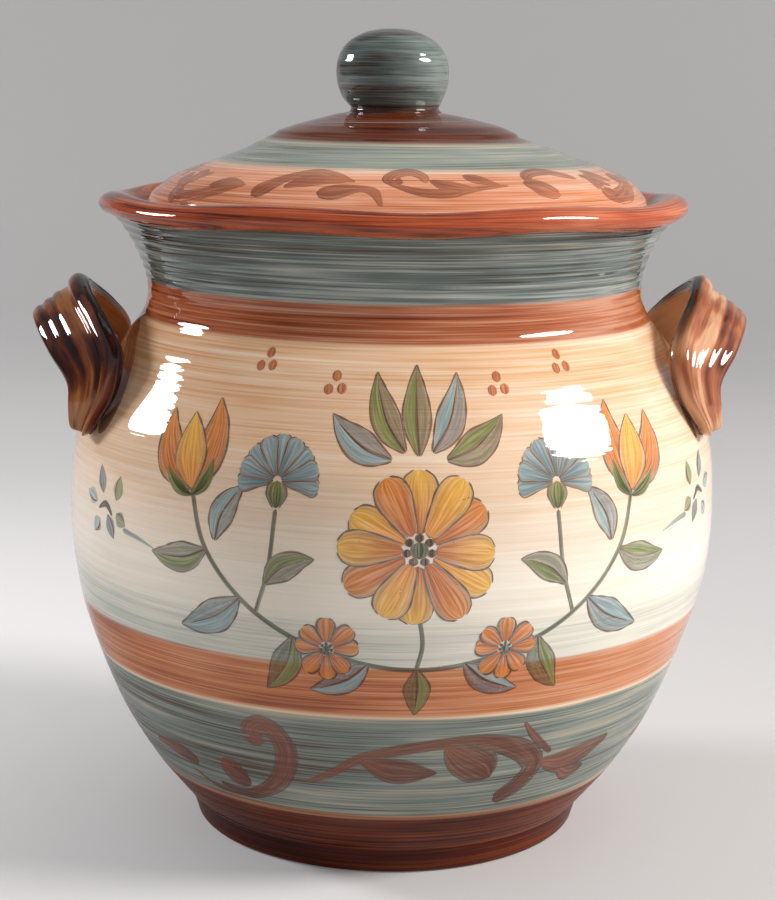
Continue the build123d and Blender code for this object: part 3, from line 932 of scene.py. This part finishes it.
def lay_marks(name, book, target, material, from_above=False):
    """Lays a book of flat marks on a piece, thrown at it from outside or from above."""
    if from_above:
        places = [(x * MM, -y * MM, LAID_FROM_HEIGHT * MM) for x, y in book["places"]]
        faces = [face[::-1] for face in book["faces"]]
    else:
        places = [(x * MM, -LAID_FROM_RADIUS * MM, y * MM) for x, y in book["places"]]
        faces = book["faces"]
    piece = new_object(name, places, faces=faces)
    store_values(piece, "pigment", book["pigment"], "FLOAT_COLOR", "color")
    store_values(piece, "slip_amount", book["slip_amount"])
    store_values(piece, "bristles", book["bristles"], "FLOAT_VECTOR", "vector")
    store_values(piece, "layer", book["layer"])
    return run_tree(piece, laid_paint, **{
        "Target": target, "Reference Radius": book["reference"] * MM,
        "Inward": float(not from_above), "Downward": float(from_above), "Material": material})


# ---- The painted decoration: scrolls on the lid and the lower band, sprigs and a folk spray ----

SCROLL_BROWN, SCROLL_LIGHT = "602A18", "864830"
LID_SCROLL_BROWN, LID_SCROLL_LIGHT = "742E14", "A65C38"
LEAF_BLUE, LEAF_PALE_BLUE, LEAF_GREEN, LEAF_DARK_GREEN = "436370", "8AA2A4", "6F7B3C", "2C3E17"
PETAL_YELLOW, PETAL_ORANGE, PETAL_TERRACOTTA = "ECB345", "D98434", "B45A28"
LINE_BROWN, STEM_BROWN = "45190C", "32120C"

# Strokes as (azimuth, height or radius in mm, half width in mm)
LOWER_SCROLLS = [
    [(-23, 50, 3.6), (-25.5, 52.5, 4), (-23.5, 56, 3.4), (-20.5, 54, 3.6), (-19, 47, 4.2),
     (-21, 38, 3.8), (-25, 32, 2.8), (-31, 28, 1.9), (-38, 29.5, 0.9)],
    [(-35, 39.5, 3.4), (-32.5, 36, 5.2), (-29, 32.5, 3.2)],
    [(-55, 38.5, 0.8), (-48, 38, 3), (-42, 36, 2.4)],
    [(-46, 32, 0.5), (-40, 27.5, 0.9), (-30, 27, 0.7)],
    [(-16, 37, 0.6), (-11, 41, 1.3), (-4, 48, 1.8), (7, 52, 2), (15, 53, 2.2), (20, 51.5, 3.2),
     (26, 47.5, 4), (29.5, 41.5, 4.2), (28, 35, 4), (23, 29, 2.8)],
    [(-5, 47, 1.4), (0, 43.5, 4.6), (4, 42.5, 4.2), (9.5, 42, 0.5)],
    [(10.5, 51.5, 2), (14, 47, 6.2), (18.5, 42.5, 6.4), (20.5, 39, 3.4)],
    [(25, 58, 0.5), (28, 52, 1.4), (33, 45, 0.9)],
    [(31, 42, 1.4), (37, 40, 4.4), (42, 41.5, 4.2), (49, 45, 1.2)],
    [(37, 37.5, 1.6), (41, 34.5, 3.2), (45, 35.5, 1.2)],
]
LID_SCROLLS = [
    [(-58, 78.5, 2), (-62.5, 76, 2.6), (-61, 71, 2.4), (-57, 66.5, 1.2)],
    [(-60, 78.5, 1.8), (-52, 77.5, 2.4), (-45, 75, 2.2), (-38, 72.5, 0.6)],
    [(-50, 73.5, 1), (-46, 71.5, 2.8), (-39, 72, 0.7)],
    [(-34, 76.5, 2.4), (-31.5, 72.5, 3.4), (-28, 67, 2.6), (-22, 63.5, 2.6), (-16, 65.5, 2.2),
     (-10, 69.5, 0.6)],
    [(-27, 73, 0.8), (-23, 69.5, 3.6), (-18, 68.5, 2.8), (-12, 69.5, 0.5)],
    [(-18, 75, 1.8), (-13.5, 74, 3), (-8, 73, 1.6), (-5, 74.5, 1.5), (-3, 79, 0.5)],
    [(1.5, 70, 2.4), (-1.5, 68, 2.6), (0, 64, 2.8), (4, 63, 2.6), (6.5, 66, 2), (7, 70, 0.8)],
    [(-2, 70, 0.9), (4, 74, 1.5), (11, 75, 1.7), (18, 73.5, 1.3), (27, 72, 0.5)],
    [(8, 68.5, 0.8), (12, 71.5, 3), (19, 74, 0.6)],
    [(17, 65.5, 1.2), (20, 68, 2.8), (25, 72, 0.5)],
    [(33, 69.5, 1.4), (36.5, 65.5, 2.2), (43, 64.5, 2.6), (49, 68, 2), (51, 70, 1)],
    [(31.5, 71, 1.8), (35, 73, 4.2), (39, 77, 1.8)],
    [(59, 65, 0.8), (62, 69, 3.2), (65, 73, 1.2)],
    [(54, 68, 0.8), (57, 71, 2.4), (61, 75, 0.8)],
]
REPEATS = (0.0, 118.0, 236.0)
SPRAY_MIDDLE = (8.0, 114.0)


def around(path, turn, reference):
    """A stroke of (azimuth, up, half width) with its azimuths turned and made lengths."""
    return [(math.radians(azimuth + turn) * reference, up, half) for azimuth, up, half in path]


# Half widths along a stroke, as (share of the way, share of the widest)
LEAF_SHAPE = ((0.0, 0.10), (0.2, 0.68), (0.42, 1.0), (0.72, 0.70), (1.0, 0.02))
RIB_SHAPE = ((0.0, 1.0), (0.4, 0.9), (0.85, 0.3))
PETAL_SHAPE = ((0.0, 0.35), (0.35, 0.75), (0.68, 1.0), (0.9, 0.80), (1.0, 0.30))
FAN_SHAPE = ((0.0, 0.2), (0.55, 0.7), (0.88, 1.0), (1.0, 0.45))
CUP_SHAPE = ((0.0, 0.3), (0.5, 1.0), (1.0, 0.7))
DOT_SHAPE = [(number / 6, math.sqrt(max(0.0, 1 - (number / 3 - 1)**2)) + 0.05)
             for number in range(7)]


def swollen(start, end, width, shape, bend=0.0):
    """A stroke from start to end with a shape's half widths, bowed out by bend at its middle."""
    start, end = Vector(start), Vector(end)
    along = end - start
    aside = Vector((-along.y, along.x)).normalized() * bend * 4
    return [(*(start + along * share + aside * share * (1 - share)), width / 2 * swell)
            for share, swell in shape]


# In which layers leaves and flowers lie over the stems, and the half widths of drawn lines
LEAF_LAYER, FLOWER_LAYER, LINE, FINE_LINE = 2.0, 6.0, 0.32, 0.25


def outlined_mark(book, path, tones, layer, line=LINE):
    """A stroke with a thin brown line drawn round it, which swells and thins a little."""
    brush_mark(book, path, tones, layer, 0.95)
    middle = smooth_line(path, 1.6)
    sides = ([], [])
    for row, (across, up, half) in enumerate(middle):
        ahead = heading(middle, row)
        for side, out in zip(sides, (half, -half)):
            side.append((across - ahead.y * out, up + ahead.x * out,
                         line * (0.8 + 0.35 * math.sin(row * 1.3 + out))))
    for side in sides:
        brush_mark(book, side, LINE_BROWN, layer + 1.0, 0.9)


def leaf(book, start, angle, length, width, tones, bend=2.0):
    """A two-toned leaf with its midrib; the angle is in degrees from straight up, clockwise."""
    turn = math.radians(angle)
    end = (start[0] + length * math.sin(turn), start[1] + length * math.cos(turn))
    outlined_mark(book, swollen(start, end, width, LEAF_SHAPE, bend), tones[0], LEAF_LAYER)
    shade = swollen(start, end, width * 0.5, LEAF_SHAPE, bend - 0.42 * width / 2)
    brush_mark(book, shade, tones[1], LEAF_LAYER + 0.5, 0.7)
    brush_mark(book, swollen(start, end, 0.9, RIB_SHAPE, bend), LINE_BROWN, LEAF_LAYER + 1.5, 0.95)


def dot(book, centre, radius, tone, layer):
    """A round dab of slip."""
    low, high = (centre[0], centre[1] - radius), (centre[0], centre[1] + radius)
    brush_mark(book, swollen(low, high, 2 * radius, DOT_SHAPE), tone, layer, 0.95)


def pointing(angle):
    """The direction at an angle in radians from straight up, clockwise."""
    return Vector((math.sin(angle), math.cos(angle)))


def daisy(book, centre, radius, petals, width, tones, layer):
    """A flower of many narrow petals round a ring of seed dots."""
    for number in range(petals):
        outwards = pointing(math.tau * (number + 0.12 * math.sin(2.4 * number)) / petals)
        reach = radius * (1 + 0.05 * math.sin(1.7 * number))
        petal = swollen(Vector(centre) + outwards * radius * 0.2,
                        Vector(centre) + outwards * reach, width, PETAL_SHAPE)
        outlined_mark(book, petal, tones[number % len(tones)], layer + 2.0 * (number % 2))
    for ring, dots, size, tone in ((0.0, 1, 0.11, LEAF_DARK_GREEN), (0.16, 7, 0.055, STEM_BROWN)):
        for number in range(dots):
            turn = math.tau * number / dots
            dot(book, (centre[0] + ring * radius * math.sin(turn),
                       centre[1] + ring * radius * math.cos(turn)), radius * size, tone,
                layer + 5.0)


def tulip(book, base, angle, length):
    """A tulip in side view: two outer petals that lean apart and one in front."""
    turn = math.radians(angle)
    up, aside = pointing(turn), Vector((math.cos(turn), -math.sin(turn)))
    base = Vector(base)
    for side in (-1, 1):
        tip = base + up * length * 0.96 + aside * side * length * 0.36
        petal = swollen(base, tip, length * 0.44, LEAF_SHAPE, -side * length * 0.13)
        outlined_mark(book, petal, (PETAL_TERRACOTTA, PETAL_ORANGE), FLOWER_LAYER)
        sepal = swollen(base - up * 2, base + up * length * 0.3 + aside * side * length * 0.34,
                        length * 0.16, LEAF_SHAPE, -side * 1.5)
        brush_mark(book, sepal, (LEAF_DARK_GREEN, LEAF_GREEN), FLOWER_LAYER + 5.0)
    outlined_mark(book, swollen(base, base + up * length * 0.86, length * 0.46, LEAF_SHAPE),
                  (PETAL_ORANGE, PETAL_YELLOW), FLOWER_LAYER + 3.0)


def cornflower(book, centre, radius):
    """A fan of nine blue dabs that pale outwards, over a green cup."""
    for number in range(9):
        outwards = pointing(math.radians(-96 + 24 * number))
        dab = swollen(Vector(centre) + outwards * radius * 0.1,
                      Vector(centre) + outwards * radius, radius * 0.46, FAN_SHAPE)
        outlined_mark(book, dab, (LEAF_BLUE, LEAF_PALE_BLUE), FLOWER_LAYER + 2.0 * (number % 2),
                      FINE_LINE)
    cup = swollen((centre[0], centre[1] - radius * 0.62), centre, radius * 0.5, CUP_SHAPE)
    outlined_mark(book, cup, (LEAF_DARK_GREEN, LEAF_GREEN), FLOWER_LAYER + 5.0, FINE_LINE)


def folk_spray(book, middle):
    """A symmetrical garland: a daisy over a hanging vine with tulips, fans, leaves and berries."""
    def at(x, y, side=1):
        return middle[0] + side * x, middle[1] + y

    vine = [(-69, 14), (-63, -4), (-47, -21), (-24, -32), (0, -36), (24, -32), (47, -21),
            (63, -4), (69, 14)]
    stems = [[(0, -36), (1.5, -28), (0, -18)], [(-47, -21), (-43, -8), (-41, 10)],
             [(47, -21), (43, -8), (41, 10)]]
    for path, half, layer in [(vine, 0.75, 1.0)] + [(stem, 0.65, 1.2) for stem in stems]:
        brush_mark(book, [(*at(x, y), half) for x, y in path], LEAF_DARK_GREEN, layer, 0.9)
    blues, greens = (LEAF_PALE_BLUE, LEAF_BLUE), (LEAF_GREEN, LEAF_DARK_GREEN)
    for side in (-1, 1):
        for x, y, angle, length, width, tones in (
                (63, -4, 100, 21, 9, greens), (52, -17, 118, 24, 10, blues),
                (60, -1, -28, 19, 8, blues), (44, -12, -60, 17, 8, greens),
                (36, -27, 152, 20, 9, greens), (14, -34, 118, 20, 8, blues),
                (4, 27, 24, 23, 9, blues if side > 0 else greens),
                (8, 25, 58, 22, 9, greens if side > 0 else blues)):
            leaf(book, at(x, y, side), side * angle, length, width, tones, bend=-2.0 * side)
        tulip(book, at(69, 13, side), side * 14, 25)
        cornflower(book, at(41, 18, side), 12.5)
        daisy(book, at(26, -30, side), 9.5, 8, 5.4, [(PETAL_TERRACOTTA, PETAL_ORANGE)],
              FLOWER_LAYER)
        for bunch in ((53, 48), (27, 43)):
            centre = at(*bunch, side)
            for across, up in ((-2.2, 0.0), (2.2, 0.3), (0.1, 3.6)):
                dot(book, (centre[0] + across, centre[1] + up), 1.5, PETAL_TERRACOTTA, 3.0)
    leaf(book, at(0, 26), 0, 24, 9, greens, bend=0.5)
    leaf(book, at(0, -36), 180, 15, 8, greens, bend=0.5)
    daisy(book, middle, 22.5, 12, 10.5,
          [(PETAL_TERRACOTTA, PETAL_YELLOW), (PETAL_ORANGE, PETAL_YELLOW),
           (PETAL_TERRACOTTA, PETAL_ORANGE)], FLOWER_LAYER + 1.0)


def side_sprig(book, azimuth, height, side):
    """Blue and green dabs round a brown curl, with a thin blue stroke that trails away."""
    middle = math.radians(azimuth) * WALL_REFERENCE
    for x, y, angle, length, tone in (
            (-2, 4, -20, 9, LEAF_BLUE), (6, 3, 12, 8, LEAF_GREEN), (-6, 1, -75, 8, LEAF_PALE_BLUE),
            (1, -2, 150, 8, LEAF_BLUE), (6, -1, 120, 6, LEAF_GREEN),
            (-4, -4, -140, 6, LEAF_PALE_BLUE)):
        turn = math.radians(angle)
        start = (middle + side * x, height + y)
        end = (start[0] + side * length * math.sin(turn), start[1] + length * math.cos(turn))
        brush_mark(book, swollen(start, end, 5.2, LEAF_SHAPE), tone, 1.0, 0.85)
        brush_mark(book, swollen(start, end, 0.9, LEAF_SHAPE, 1.4), LINE_BROWN, 2.0)
    brush_mark(book, [(middle - side * 5, height - 1, 0.4), (middle, height + 1, 1.1),
                      (middle + side * 4, height - 2, 0.5)], STEM_BROWN, 2.5)
    brush_mark(book, [(middle + side * 10, height - 5, 0.9), (middle + side * 17, height - 6, 0.7),
                      (middle + side * 25, height - 8, 0.2)], (LEAF_BLUE, LEAF_PALE_BLUE), 1.0, 0.8)


# Brown glaze run and painted contact shadow on the wall beside the straps: (degrees from the
# strap's middle, height, half width), and how wide it lies beside each strap
STRAP_RUNS_AND_SHADOWS = [(4, 166, 2.0), (12, 161.5, 3.8), (18, 155, 4.8), (21.5, 148, 5.2),
              (22.5, 141, 4.6), (21.5, 135.5, 2.6)]
run_and_shadow_marks = new_marks(WALL_REFERENCE)
for (_, azimuth, _, _, _), share in zip(STRAPS, (1.0, 0.5)):
    for side in (-1, 1):
        run = [(azimuth + side * turn, height, half * share) for turn, height, half in STRAP_RUNS_AND_SHADOWS]
        brush_mark(run_and_shadow_marks, around(run, 0.0, WALL_REFERENCE), ("8A5028", "6A3418"), 0.5, 0.9)
strap_runs_and_shadows = lay_marks("strap_glaze_runs", run_and_shadow_marks, thrown_body, painted_wall)

# The scrolls, three times round, and a line that winds over the lid twice as it climbs
lower_marks, lid_marks = new_marks(WALL_REFERENCE), new_marks(LID_REFERENCE)
spiral = [(azimuth, 33.0 - 0.03 * (azimuth + 180), 0.45) for azimuth in range(-180, 360, 12)]
brush_mark(lid_marks, around(spiral, 0.0, LID_REFERENCE), (LEAF_PALE_BLUE, LEAF_BLUE), 0.0, 0.95)
for turn in REPEATS:
    for marks, paths, reference, tones, density in (
            (lower_marks, LOWER_SCROLLS, WALL_REFERENCE, (SCROLL_LIGHT, SCROLL_BROWN), 0.9),
            (lid_marks, LID_SCROLLS, LID_REFERENCE, (LID_SCROLL_BROWN, LID_SCROLL_LIGHT), 0.82)):
        for number, path in enumerate(paths):
            brush_mark(marks, around(path, turn, reference), tones, 0.3 * number, density)
lower_scrolls = lay_marks("lower_band_scrolls", lower_marks, thrown_body, painted_wall)
lid_scrolls = lay_marks("lid_scrolls", lid_marks, lid_dome, painted_lid, from_above=True)

sprig_marks = new_marks(WALL_REFERENCE)
for azimuth, height, side in ((-55, 115, 1), (64, 120, -1), (150, 118, 1), (-148, 118, -1)):
    side_sprig(sprig_marks, azimuth, height, side)
side_sprigs = lay_marks("side_sprigs", sprig_marks, thrown_body, painted_wall)

spray_marks = new_marks(WALL_REFERENCE)
folk_spray(spray_marks, SPRAY_MIDDLE)
spray = lay_marks("folk_flower_spray", spray_marks, thrown_body, painted_wall)

for piece, body, slot in ((lower_scrolls, "jar", "body_glaze"), (lid_scrolls, "lid", "lid_glaze"),
                          (side_sprigs, "jar", "body_glaze"), (spray, "jar", "body_glaze"),
                          (strap_runs_and_shadows, "jar", "brown_glaze")):
    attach(piece, body)


# ---- Floor, camera and lights ----

JAR_MIDDLE = Vector((0.0, 0.0, 0.12))


def umbrella(name, azimuth, elevation, roll, distance, width, height, power, colour):
    """A soft lamp that faces the jar's middle from an azimuth and elevation in degrees and a
    distance in metres, rolled about its own axis by some degrees."""
    light = bpy.data.lights.new(name, "AREA")
    light.shape = "ELLIPSE"
    light.size, light.size_y = width, height
    light.energy = power
    light.color = linear(colour)[:3]
    lamp = bpy.data.objects.new(name, light)
    turn, lift = math.radians(azimuth), math.radians(elevation)
    lamp.location = JAR_MIDDLE + distance * Vector((
        math.sin(turn) * math.cos(lift), -math.cos(turn) * math.cos(lift), math.sin(lift)))
    facing = (JAR_MIDDLE - lamp.location).to_track_quat("-Z", "Y")
    lamp.rotation_euler = (facing @ Quaternion(UP, math.radians(roll))).to_euler()
    bpy.context.scene.collection.objects.link(lamp)


# A sheet of paper, flat under the jar and curved up behind it, in metres: where its flat part
# ends, its curve's radius, how far it reaches forwards, sideways and up, and how far below the
# jar's foot it lies
FLAT_END, CURVE_RADIUS, SHEET_EDGE, SHEET_DROP, CURVE_STEPS = 1.0, 0.8, 3.0, 0.0002, 12
sweep_line = [(-SHEET_EDGE, 0.0), (FLAT_END, 0.0)]
for step in range(1, CURVE_STEPS + 1):
    angle = step * math.pi / (2 * CURVE_STEPS)
    sweep_line.append((FLAT_END + CURVE_RADIUS * math.sin(angle),
                       CURVE_RADIUS - CURVE_RADIUS * math.cos(angle)))
sweep_line.append((FLAT_END + CURVE_RADIUS, SHEET_EDGE))
sweep_count = len(sweep_line)
backdrop = new_object(
    "paper_sweep",
    [(x, y, z - SHEET_DROP) for x in (-SHEET_EDGE, SHEET_EDGE) for y, z in sweep_line],
    faces=[(i, sweep_count + i, sweep_count + i + 1, i + 1) for i in range(sweep_count - 1)])
backdrop.data.shade_smooth()

# Matt, pale grey paper with painted shade that darkens it slowly towards the back
paper, tree = new_material("pale_paper_sweep")
place = add_node(tree, "ShaderNodeTexCoord").outputs["Object"]
depth = add_node(tree, "ShaderNodeSeparateXYZ", {0: place})
far = add_node(tree, "ShaderNodeMapRange", {
    "Value": depth.outputs["Y"], "From Min": -0.3, "From Max": 1.2})
paper_tones_and_painted_falloff = add_node(tree, "ShaderNodeValToRGB", {"Fac": far})
paper_tones_and_painted_falloff.color_ramp.elements[0].color = linear("CECCCB")
paper_tones_and_painted_falloff.color_ramp.elements[1].color = linear("9A9897")
paper_tones_and_painted_falloff.color_ramp.elements.new(0.42).color = linear("BEBBBA")
# Painted light: a glow that only the camera sees lightens the paper most in the jar's wide
# shadow on it
shadow_gap = add_node(tree, "ShaderNodeVectorMath", {0: place, 1: (-0.26, 0.14, 0.0)},
                      operation="DISTANCE")
lift = add_node(tree, "ShaderNodeMapRange", {
    "Value": shadow_gap.outputs["Value"], "From Min": 0.46, "From Max": 0.04,
    "To Min": 0.04, "To Max": 0.25}, interpolation_type="SMOOTHSTEP")
rays = add_node(tree, "ShaderNodeLightPath")
seen_painted_fill = add_node(tree, "ShaderNodeMath", {0: lift, 1: rays.outputs["Is Camera Ray"]},
                     operation="MULTIPLY")
shader = add_node(tree, "ShaderNodeBsdfPrincipled", {
    "Base Color": paper_tones_and_painted_falloff, "Roughness": 0.8,
    "Emission Color": linear("F4F2F1"), "Emission Strength": seen_painted_fill})
add_node(tree, "ShaderNodeOutputMaterial", {"Surface": shader})
backdrop.data.materials.append(paper)

# The room is bright to the right and above, and dark to the left and behind the camera
world = bpy.data.worlds.new("soft_room")
bpy.context.scene.world = world
world.use_nodes = True
sky = world.node_tree
looked = add_node(sky, "ShaderNodeTexCoord")
direction = add_node(sky, "ShaderNodeSeparateXYZ", {0: looked.outputs["Generated"]}).outputs
rightwards, overhead = (
    add_node(sky, "ShaderNodeMath", {0: direction[axis], 1: 0.0}, operation="MAXIMUM")
    for axis in ("X", "Z"))
lit_room = weighted_sum(sky, 0.12, (rightwards, 0.58), (overhead, 0.28))
sky.links.new(lit_room.outputs[0], sky.nodes["Background"].inputs["Strength"])
sky.nodes["Background"].inputs["Color"].default_value = linear("F4F5F8")

# azimuth, elevation, roll, distance, width, height, power, colour
umbrella("key_umbrella", 77, 31.5, -20, 3.0, 1.35, 0.80, 102.0, "FFFDFA")
umbrella("fill_umbrella", -107, 23.5, 24, 2.2, 0.76, 0.38, 34.0, "F8FAFF")

# The camera: its tilt, turn and roll in radians, its place in metres and its lens in mm
PITCH, YAW, ROLL = 0.189034, -0.0025, 0.016
CAMERA_PLACE, LENS, SENSOR = (0.0, -0.636337, 0.244234), 77.684, 36.0
forward = Vector((math.sin(YAW) * math.cos(PITCH), math.cos(YAW) * math.cos(PITCH),
                  -math.sin(PITCH)))
level = Vector((math.cos(YAW), -math.sin(YAW), 0.0))
upward = level.cross(forward)
right = level * math.cos(ROLL) + upward * math.sin(ROLL)
above = upward * math.cos(ROLL) - level * math.sin(ROLL)
camera_data = bpy.data.cameras.new("camera")
camera_data.lens = LENS
camera_data.sensor_width = camera_data.sensor_height = SENSOR
camera_data.clip_start = 0.01
camera = bpy.data.objects.new("camera", camera_data)
camera.matrix_world = (Matrix.Translation(CAMERA_PLACE)
                       @ Matrix((right, above, -forward)).transposed().to_4x4())
bpy.context.scene.collection.objects.link(camera)
bpy.context.scene.camera = camera
bpy.context.scene.view_settings.view_transform = "Standard"
